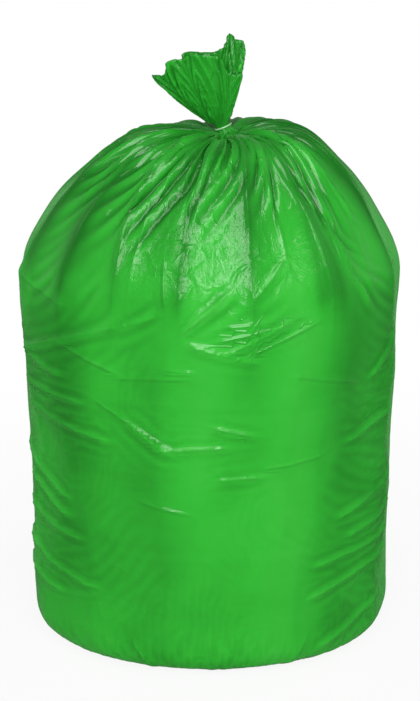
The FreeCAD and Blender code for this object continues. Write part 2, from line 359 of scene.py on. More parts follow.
# %% Excess along the pleats of the shoulder
PLEAT_EXCESS = 0.30
PLEAT_WIDTH = 0.006
from_tie = np.abs(TIE_LENGTH - film_length)
extra_round = np.zeros((RINGS, SPOKES))
extra_up = np.zeros((RINGS, SPOKES))
extra_slant = np.zeros((RINGS, SPOKES))
start_lift = np.zeros((RINGS, SPOKES))


def beside_pleat(neck_azimuth, end_azimuth, end_radius):
    """How far each point is from a pleat's middle, and how far down the pleat it is."""
    share = np.where(film_length > WIDEST_LENGTH, radius, 1.0) / (end_radius / 1000)
    turn = np.radians(end_azimuth - neck_azimuth) * np.clip(share, 0, 1)
    return turn_between(azimuth, np.radians(neck_azimuth) + turn) * radius, share


for *ends, crest in PLEATS:
    across, share = beside_pleat(*ends)
    inner = np.clip(share, 0, 1)
    band = bell(across, PLEAT_WIDTH * (0.6 + 0.9 * inner))
    band = band * (1 - past(share, 0.75, 0.30)) * smooth(from_tie / 0.02) * ~in_mouth
    extra_round += PLEAT_EXCESS * abs(crest) * band * (1 - 0.75 * inner)
    start_lift += crest / 1000 * band * (1 - 0.3 * inner)
print("most film across a pleat:", round(float(extra_round.max()), 2))

# %% [markdown]
# A crease on the body is pulled along one line, so the spare film lies across that line.
# The front's creases come again half a turn round, where the photograph shows nothing.

# %% Excess along the creases of the body
CREASE_EXCESS = 0.07
CREASE_WIDTH = 0.0065
CREASE_FADE = 0.012
SIDE_RADIUS = BODY_WIDTH / 2


def beside_crease(near_azimuth, near_height, far_azimuth, far_height):
    """A crease's direction and, for it and its twin behind, how each point lies to it.

    That is how far right of its start, how far off its line and how far past its ends.
    """
    run = math.radians(far_azimuth - near_azimuth) * SIDE_RADIUS
    rise = (far_height - near_height) / 1000
    size = math.hypot(run, rise)
    run, rise = run / size, rise / size
    up = height - near_height / 1000
    places = []
    for start in (near_azimuth, near_azimuth + 180):
        right = turn_between(azimuth, math.radians(start)) * SIDE_RADIUS
        along = right * run + up * rise
        past_end = np.maximum(0, np.maximum(-along, along - size))
        places.append((right, up * run - right * rise, past_end))
    return run, rise, places


for *ends, crest in CREASES:
    run, rise, places = beside_crease(*ends)
    for _, across, past_end in places:
        fade = np.exp(-((across / CREASE_WIDTH) ** 2) - (past_end / CREASE_FADE) ** 2)
        band = crest * fade * ~in_mouth
        extra_round += CREASE_EXCESS * band * rise**2
        extra_up += CREASE_EXCESS * band * run**2
        extra_slant -= 2 * CREASE_EXCESS * band * rise * run
        start_lift += 0.5 * band / 1000
print("highest starting lift in mm:", round(float(start_lift.max()) * 1000, 1))

# %% [markdown]
# The rest of the spare film is spread wide: most of it gathered at the neck, a little
# everywhere, some round the foot, and slanting folds where the flat bag's edges hang
# slack. The mouth keeps its full width of film, and its big left lobe is pulled smooth.

# %% Excess that is spread wide
GATHER_EXCESS = 0.40
LOOSE_EXCESS = 0.002
FOOT_EXCESS = 0.06
SLUMP_EXCESS = 0.004
SIDE_EXCESS = 0.035
SIDE_SLOPE = 0.8
SMOOTH_LOBE_AZIMUTH = math.radians(215)
SMOOTHING = 0.85
on_shoulder = (film_length > WIDEST_LENGTH) & ~in_mouth
gather_reach = 0.100 + 0.03 * cloud(9, 1, 3)
extra_round += GATHER_EXCESS * smooth((gather_reach - radius) / 0.08) * on_shoulder
extra_round += LOOSE_EXCESS * (1 + cloud(10, 4, 5)) * ~in_mouth
extra_round += FOOT_EXCESS * bell(height - 0.012, 0.022) * ~on_shoulder
slump = SLUMP_EXCESS * np.clip(0.3 + 0.8 * cloud(5, 7, 17), 0, 2)
extra_up += slump * (1 - 0.8 * past(height, 0.43, 0.1)) * ~in_mouth

beside = np.abs(np.cos(azimuth)) ** 3 * (1 - past(height, 0.42, 0.12)) * smooth(height / 0.03)
side_extra = SIDE_EXCESS * beside * np.clip(0.6 + 0.7 * cloud(8, 6, 11), 0, 2)
slope = SIDE_SLOPE * (1 + 0.45 * cloud(6, 4, 13))
across_round, across_up = slope / np.hypot(slope, 1), 1 / np.hypot(slope, 1)
extra_round += side_extra * across_round**2
extra_up += side_extra * across_up**2
extra_slant -= 2 * side_extra * across_round * across_up * np.sign(np.sin(azimuth) * np.cos(azimuth))

mouth_share = np.clip((np.arange(RINGS) - BODY_RINGS - 1) / MOUTH_RINGS, 0, 1)[:, None] + 0 * AROUND
left_lobe = np.exp(-((turn_between(azimuth, SMOOTH_LOBE_AZIMUTH) / 0.85) ** 4))
left_lobe = left_lobe * smooth(mouth_share / 0.35)
mouth_extra = (0.65 - 0.60 * mouth_share) * (1 - SMOOTHING * left_lobe)
extra_round += mouth_extra * np.clip(0.8 + 0.5 * cloud(6, 2, 23), 0.2, 2) * in_mouth
print("mean excess of film round the bag:", round(float(extra_round.mean()), 3))

# %% [markdown]
# ## Let the film find its folds
# Blender's cloth could do this, but a bag's film is so thin and stiff along its length
# that it needs far more steps than the scene has time for. So the script settles it by
# itself: every two neighbouring points have a length that they try to keep, and moving
# each pair a little, over and over, buckles the film where it has too much of itself.
# The filling keeps it from going in, and its own shape from standing far off.

# %% Film that keeps its lengths
def distances(points, others):
    """The distance between each two points."""
    return np.linalg.norm(points - others, axis=-1)


def pull_pairs(film, free, firsts, seconds, lengths, push, pull):
    """Moves each pair of points towards its length, with one stiffness pushed and one pulled."""
    start, end = film[firsts], film[seconds]
    gap = end - start
    now = np.sqrt((gap * gap).sum(-1)) + 1e-12
    off = now - lengths
    share = np.where(off < 0, push, pull) * off / now / np.maximum(free[firsts] + free[seconds], 1e-9)
    film[firsts] = start + (share * free[firsts])[..., None] * gap
    film[seconds] = end - (share * free[seconds])[..., None] * gap


outwardness = (outward(base)[BODY_RINGS // 2, :, :2] * base[BODY_RINGS // 2, :, :2]).sum(-1)
print("film normals point out:", bool(outwardness.min() > 0))

# %% [markdown]
# Each point is paired with its neighbours round, up and slanting, which carry the film's
# lengths. A pair two points apart is only pushed, a little, so a fold can't get sharper
# than the film would. Pairs that share no point are moved in one go.

# %% Pair up the points
FACE_PUSH = 0.8
BEND_PUSH = 0.03
BEND_SKIP = 2


def film_pairs(base):
    """Pairs of neighbours along, across and slanting, and of points further off."""
    rows, columns = np.arange(RINGS)[:, None], np.arange(SPOKES)
    round_lengths = distances(np.roll(base, -1, 1), base) * (1 + extra_round)
    up_lengths = distances(base[1:], base[:-1]) * (1 + (extra_up[1:] + extra_up[:-1]) / 2)
    slant = np.sin((extra_slant[1:] + extra_slant[:-1]) / 2)
    wide = (round_lengths[1:] + round_lengths[:-1]) / 2
    square = wide**2 + up_lengths**2
    rising = np.sqrt(square + 2 * wide * up_lengths * slant)
    falling = np.sqrt(square - 2 * wide * up_lengths * slant)
    pairs = []
    for half in (0, 1):
        i = columns[half::2][None]
        pairs.append(((rows, i), (rows, (i + 1) % SPOKES), round_lengths[:, i[0]], FACE_PUSH, 1.0))
    for half in (0, 1):
        k = np.arange(half, RINGS - 1, 2)
        low, high, i, right = k[:, None], k[:, None] + 1, columns[None], (columns[None] + 1) % SPOKES
        pairs.append(((low, i), (high, i), up_lengths[k], FACE_PUSH, 1.0))
        pairs.append(((low, i), (high, right), rising[k], FACE_PUSH, 1.0))
        pairs.append(((low, right), (high, i), falling[k], FACE_PUSH, 1.0))
    for half in (0, 1):
        i = columns[(columns // BEND_SKIP) % 2 == half]
        lengths = sum(round_lengths[:, (i + j) % SPOKES] for j in range(BEND_SKIP))
        ends = (rows, i[None]), (rows, (i[None] + BEND_SKIP) % SPOKES)
        pairs.append((*ends, lengths, BEND_PUSH, 0.0))
        k = np.arange(RINGS - BEND_SKIP)
        k = k[(k // BEND_SKIP) % 2 == half]
        lengths = sum(up_lengths[k + j] for j in range(BEND_SKIP))
        ends = (k[:, None], columns[None]), (k[:, None] + BEND_SKIP, columns[None])
        pairs.append((*ends, lengths, BEND_PUSH, 0.0))
    return pairs


pairs = film_pairs(base)
print("sets of pairs:", len(pairs))

# %% [markdown]
# Smooth film with too much of itself doesn't know which way to fold. So it starts with
# small lifts: the waves of the gathers, the listed pleats, the broad swells of the
# filling, flat panels where the film is pulled from fold to fold, and a fine noise.

# %% Start from small lifts
GATHER_COUNT = 28
GATHER_UNEVENNESS = 0.62
LUMP_DEPTH = 0.0020
LUMP_PITCH = 0.565
PANEL_SHARE = 0.9
PANEL_LIMIT = 0.006
FAN_SHARE = 2.4
FAN_LIMIT = 0.009
PUFF_HEIGHT = 0.010
PUFF_AZIMUTH = math.radians(38)
NECK_WAVE = 0.0050
MOUTH_WAVE = 0.0030
LOBE_WAVE = 0.0035
NOISE_HEIGHT = 0.0005


def gather_wave(azimuths):
    """Crests and valleys of the gathers, each a little different."""
    drift = 0.60 * np.sin(3 * azimuths + 0.6) + 0.45 * np.sin(5 * azimuths + 2.1)
    strength = 1 - GATHER_UNEVENNESS * (0.5 + 0.5 * np.sin(7 * azimuths + 1.3))
    return strength * np.cos(GATHER_COUNT * azimuths + drift)


def fine_noise(seed):
    """Small seeded unevenness, a few points wide."""
    grain = np.random.default_rng(seed).normal(size=(RINGS, SPOKES))
    for _ in range(6):
        grain = (grain + np.roll(grain, 1, 1) + np.roll(grain, -1, 1)) / 3
        grain[1:-1] = (grain[1:-1] + grain[2:] + grain[:-2]) / 3
    return grain / grain.std()


def soft_lumps():
    """The filling under the film: the same few broad swells as on the solid."""
    turn = 2 * math.pi * height / LUMP_PITCH
    swells = np.sin(2 * azimuth + turn) + 0.8 * np.sin(4 * azimuth - 1.5 * turn)
    swells = swells + 0.6 * np.sin(6 * azimuth + 2.6 * turn)
    crown_fade = np.clip((CROWN_HEIGHT - height) / 0.15, 0, 1)
    return LUMP_DEPTH * swells * smooth(height / 0.06) * crown_fade * ~in_mouth


def flat_panels(count, tall, seed):
    """Film pulled flat between folds, lying lower in a panel's middle than at its edges."""
    dice = np.random.default_rng(seed)
    nearest = np.full((RINGS, SPOKES), 1.0)
    spot_azimuths = dice.uniform(-math.pi, math.pi, count)
    for spot_azimuth, spot_length in zip(spot_azimuths, dice.uniform(0, TIE_LENGTH, count)):
        across = turn_between(azimuth, spot_azimuth) * radius
        along = (film_length - spot_length) / tall
        nearest = np.minimum(nearest, across**2 + along**2)
    rise = np.minimum(nearest / BODY_WIDTH, PANEL_LIMIT)
    return rise - rise.mean()


def fan_panels(count, seed):
    """Film pulled flat from the neck in long sectors, and how far each point is from a border."""
    dice = np.random.default_rng(seed)
    turns = np.empty((count, RINGS, SPOKES))
    for k in range(count):
        spot = 2 * math.pi * (k + dice.uniform(-0.35, 0.35)) / count
        lean = dice.uniform(-0.16, 0.16) * smooth(from_tie / 0.30)
        turns[k] = np.abs(turn_between(azimuth, spot + lean))
    order = np.argsort(turns, axis=0)[:2]
    nearest, second = np.take_along_axis(turns, order, axis=0)
    side = np.where(order[0] < order[1], 1, -1)
    rise = np.minimum(FAN_SHARE * radius * nearest**2 / 2, FAN_LIMIT)
    return rise - rise[film_length > WIDEST_LENGTH].mean(), side * radius * (second - nearest) / 2


down_the_fan = past(from_tie, 0.03, 0.08) * (1 - past(from_tie, 0.26, 0.10)) * ~in_mouth
panels = PANEL_SHARE * flat_panels(150, 2.2, 61) * (1 - past(height, 0.34, 0.10)) * ~in_mouth
panels = panels * smooth(height / 0.05)
fan_rise, from_border = fan_panels(17, 67)
panels = panels + fan_rise * down_the_fan
puff_turn = turn_between(azimuth, PUFF_AZIMUTH)
puff_share = np.exp(-((puff_turn / 0.7) ** 2) - ((radius - 0.085) / 0.045) ** 2)
crown_puff = PUFF_HEIGHT * puff_share * on_shoulder
lumps = soft_lumps() + panels + crown_puff
near_neck = smooth((0.13 - radius) / 0.07) * smooth((radius - NECK_RADIUS) / 0.04) * on_shoulder
mouth_start = MOUTH_WAVE * smooth(mouth_share / 0.25) * (1 - 0.75 * smooth(mouth_share)) * in_mouth
mouth_folds = gather_wave(azimuth) + 0.6 * cloud(40, 1, 31)
start_lift += NECK_WAVE * gather_wave(azimuth) * near_neck + lumps
start_lift += mouth_start * (1 - SMOOTHING * left_lobe) * mouth_folds
start_lift += LOBE_WAVE * cloud(7, 5, 91) * left_lobe * in_mouth
start_lift += NOISE_HEIGHT * fine_noise(7)
print("lumps of the filling reach, mm:", round(float(lumps.max()) * 1000, 1))

# %% [markdown]
# Now the film moves. In each pass it keeps most of its speed, is blown out a very little
# at the shoulder, has every pair put right in part, and is kept between the filling and
# a highest lift. Its foot's edge and the ring under the tie are held still.

# %% Settle the film
STEPS = 220
GIVE_IN = 0.003
GIVE_OUT = 0.010
MOUTH_GIVE = 0.006
HOLD = 0.004
SLOWING = 0.92
PUFFING = 0.00002
SOFT_STOP = 0.3
SLIDE_BACK = 0.01


def settle_film():
    """Buckles the film and gives where each point comes to rest."""
    facing = outward(base)
    free = np.ones((RINGS, SPOKES))
    free[0] = 0
    free[BODY_RINGS - 2 : BODY_RINGS + 3] = 0
    up_shoulder = smooth((film_length - WIDEST_LENGTH) / 0.1)
    mouth_give = MOUTH_GIVE * smooth(mouth_share / 0.3)
    puff = (PUFFING * up_shoulder * ~in_mouth)[..., None]
    lowest = np.where(in_mouth, -mouth_give, lumps - GIVE_IN * (0.3 + 3.0 * up_shoulder))
    highest = np.where(in_mouth, mouth_give, lumps + GIVE_OUT)
    film = base + (start_lift * free)[..., None] * facing
    before = film.copy()
    for step in range(STEPS):
        speed = (film - before) * SLOWING
        before = film.copy()
        if step % 4 == 0:
            faced = outward(film)
        film = film + (speed + faced * puff) * free[..., None]
        for firsts, seconds, lengths, push, pull in pairs:
            pull_pairs(film, free, firsts, seconds, lengths, push, pull)
        lift = ((film - base) * facing).sum(-1)
        held = np.where(lift > highest, (highest - lift) * SOFT_STOP, -HOLD * (lift - lumps))
        back = np.where(lift < lowest, lowest - lift, held)
        slid = (film - base) - lift[..., None] * facing
        film = film + (back * free)[..., None] * facing - SLIDE_BACK * slid * free[..., None]
    return film, ((film - base) * facing).sum(-1)


settled, lift = settle_film()
lift_range = [round(float(end) * 1000, 1) for end in (lift.min(), lift.max())]
print("folds stand off the smooth film by, mm:", lift_range)

# %% [markdown]
# ## Sharpen the folds
# Settled film is soft at this spacing of points, but real film of a few hundredths of a
# millimetre folds to a line. So low ridges with a sharp crest are laid over it: fine ones
# that run in to the neck, fine ones that slant down the two sides, and one on each
# listed pleat and crease.

# %% Ridges that run up the film
CREST_WAVES = 14


def round_crests(waves, up_waves, seed):
    """Wandering ridge lines up the film, between so many and so many round the bag."""
    dice = np.random.default_rng(seed)
    up = film_length / TIE_LENGTH
    total = np.zeros((RINGS, SPOKES))
    for _ in range(CREST_WAVES):
        turns = dice.integers(waves[0], waves[1] + 1) * azimuth
        climb = 2 * math.pi * dice.uniform(-up_waves, up_waves) * up
        total += np.cos(turns + climb + dice.uniform(0, 2 * math.pi))
    return np.clip(1 - np.abs(total) / total.std(), 0, 1)


PLEAT_RIDGE = 0.0028
turn_from_side = np.arcsin(np.abs(np.sin(azimuth)))
patchy = np.clip(0.5 + 0.8 * cloud(8, 6, 73), 0, 1.4)
below_shoulder = (1 - past(height, 0.40, 0.06)) * ~in_mouth
calm = np.maximum(past(turn_from_side, 0.7, 0.4) * below_shoulder, 0.55) * below_shoulder
calm = calm + (1 - smooth(turn_from_side / 0.35)) * below_shoulder
fan_edge = 0.15 + 0.035 * cloud(8, 1, 75)
fanning = smooth((fan_edge - radius) / 0.09) * past(radius, 0.012, 0.03) * on_shoulder
pleat_ridges = round_crests((14, 34), 0.5, 77) + 0.5 * round_crests((34, 60), 0.8, 79)
pleat_ridges = PLEAT_RIDGE * pleat_ridges * fanning
print("pleat ridges reach in mm:", round(float(pleat_ridges.max()) * 1000, 1))

# %% [markdown]
# Down the two sides the photograph shows fans of creases. Each runs in to a point on the
# edge where the empty bag was folded flat, and dies out towards the front. Where two
# fans meet the stronger one wins, and neither shows on the line between.

# %% Fans of creases at the sides
SIDE_RIDGE = 0.0022
FAN_LINES = 26
FAN_OPENING = 0.55
# A fan: azimuth and height of its point, the way that it opens in degrees, and its reach in mm.
FANS = (
    (184, 392, -35, 130), (185, 328, 0, 160), (184, 268, -35, 115), (185, 208, -30, 115),
    (186, 152, -25, 110), (186, 92, -12, 95), (352, 380, -40, 130), (350, 305, -22, 140),
    (351, 240, -35, 115), (350, 182, -28, 110), (350, 128, -25, 110), (348, 72, -15, 90),
)


def crease_fans():
    """How strong the creases of the fans are, their ridges, and how each place lies in its fan."""
    strength = np.zeros((RINGS, SPOKES))
    second = np.zeros((RINGS, SPOKES))
    ways = np.zeros((RINGS, SPOKES, 3))
    ridges = np.zeros((RINGS, SPOKES))
    dice = np.random.default_rng(83)
    for k, (middle, level, way, reach) in enumerate(FANS):
        waves = [(FAN_LINES * dice.uniform(0.5, 1.5), dice.uniform(0, 2 * math.pi)) for _ in range(8)]
        side = 1 if middle < 270 else -1
        up = height - level / 1000
        for start in (middle, middle + 180):
            right = turn_between(azimuth, math.radians(start)) * SIDE_RADIUS * side
            out = np.hypot(right, up)
            turn = np.arctan2(up, right)
            held = bell(turn - math.radians(way), FAN_OPENING) * past(out, 0.01, 0.05)
            held = held * (1 - past(out / (reach / 1000), 0.6, 0.5)) * (right > 0) * ~in_mouth
            lines = sum(np.cos(count * turn + phase) for count, phase in waves) / 2
            place = np.stack([0.12 * turn + 3.0 * k, 0.2 * out, 0 * out], axis=-1)
            ways = np.where((held > strength)[..., None], place, ways)
            ridges += held * np.clip(1 - np.abs(lines), 0, 1)
            second = np.maximum(second, np.minimum(strength, held))
            strength = np.maximum(strength, held)
    return strength - second, ridges, ways


fan_strength, fan_ridges, fan_places = crease_fans()
side_ridges = SIDE_RIDGE * fan_ridges * (0.5 + 0.5 * np.clip(patchy, 0, 1))
print("side ridges reach in mm:", round(float(side_ridges.max()) * 1000, 1))

# %% [markdown]
# A listed pleat or crease is an edge. On the mesh it gets a low roof with a sharp ridge,
# steeper above than below as the film hangs from it. Points a few millimetres apart
# can't hold a keen edge, so each also keeps how far off the nearest line it is and how
# high that line stands, and the material draws the last millimetres of the edge.

# %% Sharp crests on the listed lines
FINE_CREASES = (
    (276, 409, 295, 415, 2.4), (274, 395, 290, 408, 2.8), (265, 390, 271, 382, 2.0),
    (282, 379, 299, 405, 1.8), (259, 360, 264, 359, 2.0), (256, 467, 257, 436, 1.8),
    (236, 312, 254, 277, 1.6), (222, 375, 240, 352, 1.6), (243, 345, 262, 351, 1.5),
    (296, 350, 318, 330, 1.6), (288, 246, 304, 254, 1.5), (250, 205, 262, 196, 1.4),
    (246, 32, 250, 6, 1.6), (270, 34, 271, 6, 1.8), (278, 40, 275, 8, 1.6), (300, 30, 297, 6, 1.6),
)
SHARP_SHARE = 0.95
SHARP_WIDTH = 0.0045
SHARP_FADE = 0.008
UPPER_FLANK = 0.0065
LOWER_FLANK = 0.013
LINE_REACH = 0.011
LEAST_LINE = 0.05
PLEAT_LINE = 0.45
DEEP_CREST = 2.0
sharp = np.zeros((RINGS, SPOKES))
line_off = np.full((RINGS, SPOKES), LINE_REACH)
line_height = np.zeros((RINGS, SPOKES))


def mark_line(across, height_there):
    """Keeps how far each point is from the nearest line, and how high that line is, in mm."""
    nearer = (np.abs(across) < np.abs(line_off)) & (height_there > LEAST_LINE)
    line_off[nearer] = across[nearer]
    line_height[nearer] = (height_there * (1 - np.abs(across) / LINE_REACH))[nearer]


for *ends, crest in PLEATS:
    across, share = beside_pleat(*ends)
    fade = smooth(radius / 0.05) * (1 - past(share, 0.85, 0.3)) * on_shoulder
    mark_line(across, PLEAT_LINE * abs(crest) * fade)
    sharp += SHARP_SHARE * crest / 1000 * fade * np.exp(-np.abs(across) / SHARP_WIDTH)
for *ends, crest in CREASES + FINE_CREASES:
    run, _, places = beside_crease(*ends)
    line_share = 0.6 if crest >= DEEP_CREST else 0.9
    for right, across, past_end in places:
        fade = np.exp(-past_end / SHARP_FADE) * ~in_mouth
        above = across * np.sign(run)
        mark_line(above, line_share * crest * fade * (np.abs(right) < 0.3))
        flank = np.where(above > 0, above / UPPER_FLANK, -above / LOWER_FLANK)
        sharp += SHARP_SHARE * crest / 1000 * np.clip(1 - flank, 0, 1) * fade
print("sharpest crest, mm:", round(float(sharp.max()) * 1000, 1))

# %% [markdown]
# Low on the front the photograph's film is pulled nearly flat, so part of the buckling is
# taken back there. Then every ridge is laid along the film's own facing.

# %% Lay the ridges over the film
CALMING = 0.85
BORDER_RIDGE = 0.0018
BORDER_WIDTH = 0.0035
border_share = down_the_fan * np.clip(patchy + 0.2, 0, 1)
mark_line(from_border, 1.1 * border_share)
sharp += BORDER_RIDGE * np.exp(-np.abs(from_border) / BORDER_WIDTH) * border_share
ridges = side_ridges + pleat_ridges + sharp
quiet = base + lumps[..., None] * outward(base)
calmed = settled + (quiet - settled) * (CALMING * np.clip(calm, 0, 1))[..., None]
creased = calmed + ridges[..., None] * outward(calmed)
print("highest ridge, mm:", round(float(ridges.max()) * 1000, 1))

# %% [markdown]
# ## Make the film a mesh
# The bag is one closed skin: the foot, the body, the outside of the mouth, and back down
# inside it. A half circle spun round gives such a skin in one step, as a ball with a ring
# for every ring of the film. Each vertex is then moved to where its film came to rest.

# %% Spin the blank
FOOT_RINGS = 6
INSIDE_RINGS = 14
LAST_RING = FOOT_RINGS + RINGS + INSIDE_RINGS


def spun_blank(name):
    """A ball with a ring for each ring of the film, closed at both poles."""
    bm = bmesh.new()
    turns = [math.pi * k / LAST_RING for k in range(LAST_RING + 1)]
    points = [bm.verts.new((math.sin(turn), 0.0, -math.cos(turn))) for turn in turns]
    edges = [bm.edges.new(pair) for pair in zip(points, points[1:])]
    bmesh.ops.spin(
        bm,
        geom=points + edges,
        axis=(0, 0, 1),
        cent=(0, 0, 0),
        angle=2 * math.pi,
        steps=SPOKES,
        use_merge=True,
        use_duplicate=False,
    )
    bmesh.ops.remove_doubles(bm, verts=bm.verts, dist=1e-5)
    bmesh.ops.recalc_face_normals(bm, faces=bm.faces)
    mesh = bpy.data.meshes.new(name)
    bm.to_mesh(mesh)
    bm.free()
    film = bpy.data.objects.new(name, mesh)
    bpy.context.scene.collection.objects.link(film)
    return film


film = spun_blank("bag_film")
flat = np.empty(len(film.data.vertices) * 3)
film.data.vertices.foreach_get("co", flat)
blank = flat.reshape(-1, 3)
ring_of = np.arccos(np.clip(-blank[:, 2], -1, 1)) * LAST_RING / math.pi
ring_of = np.round(ring_of).astype(int)
spoke_of = np.arctan2(blank[:, 1], blank[:, 0]) * SPOKES / (2 * math.pi)
spoke_of = np.round(spoke_of).astype(int) % SPOKES
print("vertices of the film:", len(blank), "rings:", ring_of.max())

# %% [markdown]
# The real film is 0.03 mm thick, too thin to render apart from its own back, so the
# mouth's inside lies 0.6 mm in. It ends in a floor down in the folds, out of sight.

# %% Move every vertex to its place
FILM_THICKNESS = 0.0006
FLOOR_SHARE = 0.35


def all_rings(settled):
    """The settled film, with the foot's disc before it and the mouth's inside after it."""
    shares = np.arange(FOOT_RINGS)[:, None, None] / FOOT_RINGS
    foot = settled[:1] * shares
    inner = settled - FILM_THICKNESS * outward(settled)
    rows = RINGS - 1 - np.linspace(0, 1 - FLOOR_SHARE, INSIDE_RINGS) * MOUTH_RINGS
    low = np.floor(rows).astype(int)
    part = (rows - low)[:, None, None]
    inside = inner[low] * (1 - part) + inner[np.minimum(low + 1, RINGS - 1)] * part
    middle = inside[-1].mean(axis=0) + np.zeros((1, SPOKES, 3))
    return np.concatenate([foot, settled, inside, middle])


skin = all_rings(creased)
film.data.vertices.foreach_set("co", skin[ring_of, spoke_of].ravel())
film.data.update()
film.data.polygons.foreach_set("use_smooth", [True] * len(film.data.polygons))
film.data.calc_loop_triangles()
print("triangles of the film:", len(film.data.loop_triangles))
print("lowest point in metres:", round(float(skin[..., 2].min()), 5))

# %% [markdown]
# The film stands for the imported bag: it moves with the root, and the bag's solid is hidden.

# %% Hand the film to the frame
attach(film, "root")
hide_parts("bag")
print("film stands for the bag's solid")

# %% [markdown]
# ## The finish of the film
# Refuse sacks are blown from LDPE: a thin, dyed, slightly see-through film with a soft
# gloss, which shows every crinkle as a bright line. Its colour carries painted light and
# shade: painted paler where it stands off the filling, painted shade where it lies in a
# fold, in part for the see-through film, so the film's lift is stored for each point and the colour
# follows it.

# %% How far the film stands off the filling, and the painted light and shade of its colour
# A spot of painted shade, a darker green where less light falls: azimuth and height of its middle,
# half its width and height, in degrees and mm, and how much deeper the green is.
PAINTED_SHADE_SPOTS = (
    (330, 390, 16, 70, 0.14), (208, 330, 17, 70, 0.10), (318, 40, 13, 28, 0.2), (150, 390, 16, 70, 0.14),
)
WINDOW_AZIMUTH = math.radians(268)
# Width and strength of a paler strip of painted rim light at each side edge, for light coming through the
# film from behind.
RIM_LIGHT_TURN = math.radians(17)
PAINTED_RIM_LIGHT = 0.16
# Strength of the painted shade on the shoulders.
TOP_PAINTED_SHADE = 0.36
# Strength of the cloudy painted light and shade.
CLOUDY_PAINTED_SHADE = 0.15
from_window = turn_between(azimuth, WINDOW_AZIMUTH)
# Painted light and shade: the film is painted paler where it stands off the filling and darker where it
# lies in a fold, in part for the see-through film over the filling.
off_filling = lift - lumps
off_filling = off_filling - off_filling.mean(axis=1, keepdims=True)
lift_and_painted_shade = np.clip(0.5 + off_filling / np.where(on_shoulder, 0.010, 0.016), 0, 1)
# The strip of painted rim light down each side edge, below the shoulder.
rim_light_edge = RIM_LIGHT_TURN * (1 + 0.5 * cloud(3, 9, 51))
rim_light_strip = smooth((rim_light_edge - turn_from_side) / 0.05) * smooth(height / 0.08)
rim_light_strip = rim_light_strip * (1 - past(height, 0.42, 0.05)) * ~in_mouth
# Painted shade on the two sides, where the front light falls off, more on the left.
painted_side_shade = past(turn_from_side, 0.25, 0.2) * (1 - past(turn_from_side, 0.75, 0.45))
painted_side_shade = painted_side_shade * (1 - past(height, 0.46, 0.06)) * past(height, 0.03, 0.08) * ~in_mouth
# Painted shade over the shoulders, less at the front under the window lamp.
painted_top_shade = past(height, 0.44, 0.10) * (1 - 0.6 * bell(from_window, 0.35)) * ~in_mouth
# Painted rim light on the side strips; painted shade on the gathered shoulder and in the mouth, in part
# for the deeper green of film in layers.
lift_and_painted_shade = lift_and_painted_shade + PAINTED_RIM_LIGHT * (rim_light_strip - np.where(in_mouth, 1.6 - 0.5 * left_lobe, fanning))
# Painted shade on the sides and the shoulders.
lift_and_painted_shade = lift_and_painted_shade - (0.16 - 0.08 * np.cos(azimuth)) * painted_side_shade - TOP_PAINTED_SHADE * painted_top_shade
# Cloudy painted light and shade, standing in for the shading of the film's soft facets.
lift_and_painted_shade = lift_and_painted_shade + CLOUDY_PAINTED_SHADE * cloud(12, 1, 29) * ~in_mouth
# Spots of painted shade, kept off the strips of painted rim light.
for middle, level, wide, tall, strength in PAINTED_SHADE_SPOTS:
    right = turn_between(azimuth, math.radians(middle)) / math.radians(wide)
    up = (height - level / 1000) / (tall / 1000)
    lift_and_painted_shade = lift_and_painted_shade - strength * np.exp(-((right**2 + up**2) ** 2)) * ~in_mouth * (1 - rim_light_strip)
lift_and_painted_shade = np.clip(lift_and_painted_shade, 0, 1)
print("mean lift of the film, 0 to 1:", round(float(lift_and_painted_shade.mean()), 2))

# %% [markdown]
# The finest folds are left to the material. Each vertex says how strong they are there,
# and which way its place lies across and along them, so that a plain noise pattern
# read at that place comes out as long creases down a fan or a gather.

# %% Store the values on the film
lit_side = bell(from_window, 0.50) * past(height, 0.36, 0.08)
crinkle = np.clip(0.15 + 0.30 * cloud(7, 5, 41) + 0.95 * lit_side, 0.04, 1.2)
crinkle = np.where(in_mouth, 1.0 + 0.6 * left_lobe, crinkle)
side_folds = np.clip(1.3 * fan_strength, 0, 1)
fan_folds = np.clip(fanning + 0.3 * down_the_fan, 0, 1)
fan_folds = np.where(in_mouth, 0.7 - 0.6 * left_lobe, fan_folds)
fan_ways = np.stack([0.10 * np.cos(azimuth), 0.10 * np.sin(azimuth), 0.12 * from_tie], axis=-1)
fold_line = np.stack([line_off, line_height, 0 * line_off], axis=-1)


def store(name, grid, foot, inside):
    """Stores the grid's value, and those of the foot and the mouth's inside, for each vertex."""
    below = np.zeros((FOOT_RINGS, *grid.shape[1:])) + foot
    within = np.zeros((INSIDE_RINGS + 1, *grid.shape[1:])) + inside
    values = np.concatenate([below, grid, within])[ring_of, spoke_of]
    kind, field = ("FLOAT", "value") if grid.ndim == 2 else ("FLOAT_VECTOR", "vector")
    layer = film.data.attributes.new(name, kind, "POINT")
    layer.data.foreach_set(field, values.astype(np.float32).ravel())


# The lift level carries all the painted light and shade; the foot gets a middle level and the mouth's
# inside a low one, painted shade.
store("lift", lift_and_painted_shade, 0.5, 0.2)
store("crinkle", crinkle, 0.3, 0.6)
store("side_folds", side_folds, 0.0, 0.0)
store("fan_folds", fan_folds, 0.0, 0.5)
for name, ways in (("side_ways", fan_places), ("fan_ways", fan_ways), ("fold_line", fold_line)):
    store(name, ways, ways[:1], ways[-1:])
print("stored on the film:", [name for name in film.data.attributes.keys() if name[0] != "."])

# %% [markdown]
# Colours are written as the hex codes that a picture shows. A shader works in linear
# light, so one function turns them. One more adds a node with its settings and links.

# %% Colours and nodes
def srgb(code):
    """A linear colour from an sRGB hex code."""
    parts = [int(code[i : i + 2], 16) / 255 for i in (1, 3, 5)]
    return [part / 12.92 if part <= 0.04045 else ((part + 0.055) / 1.055) ** 2.4 for part in parts] + [1.0]


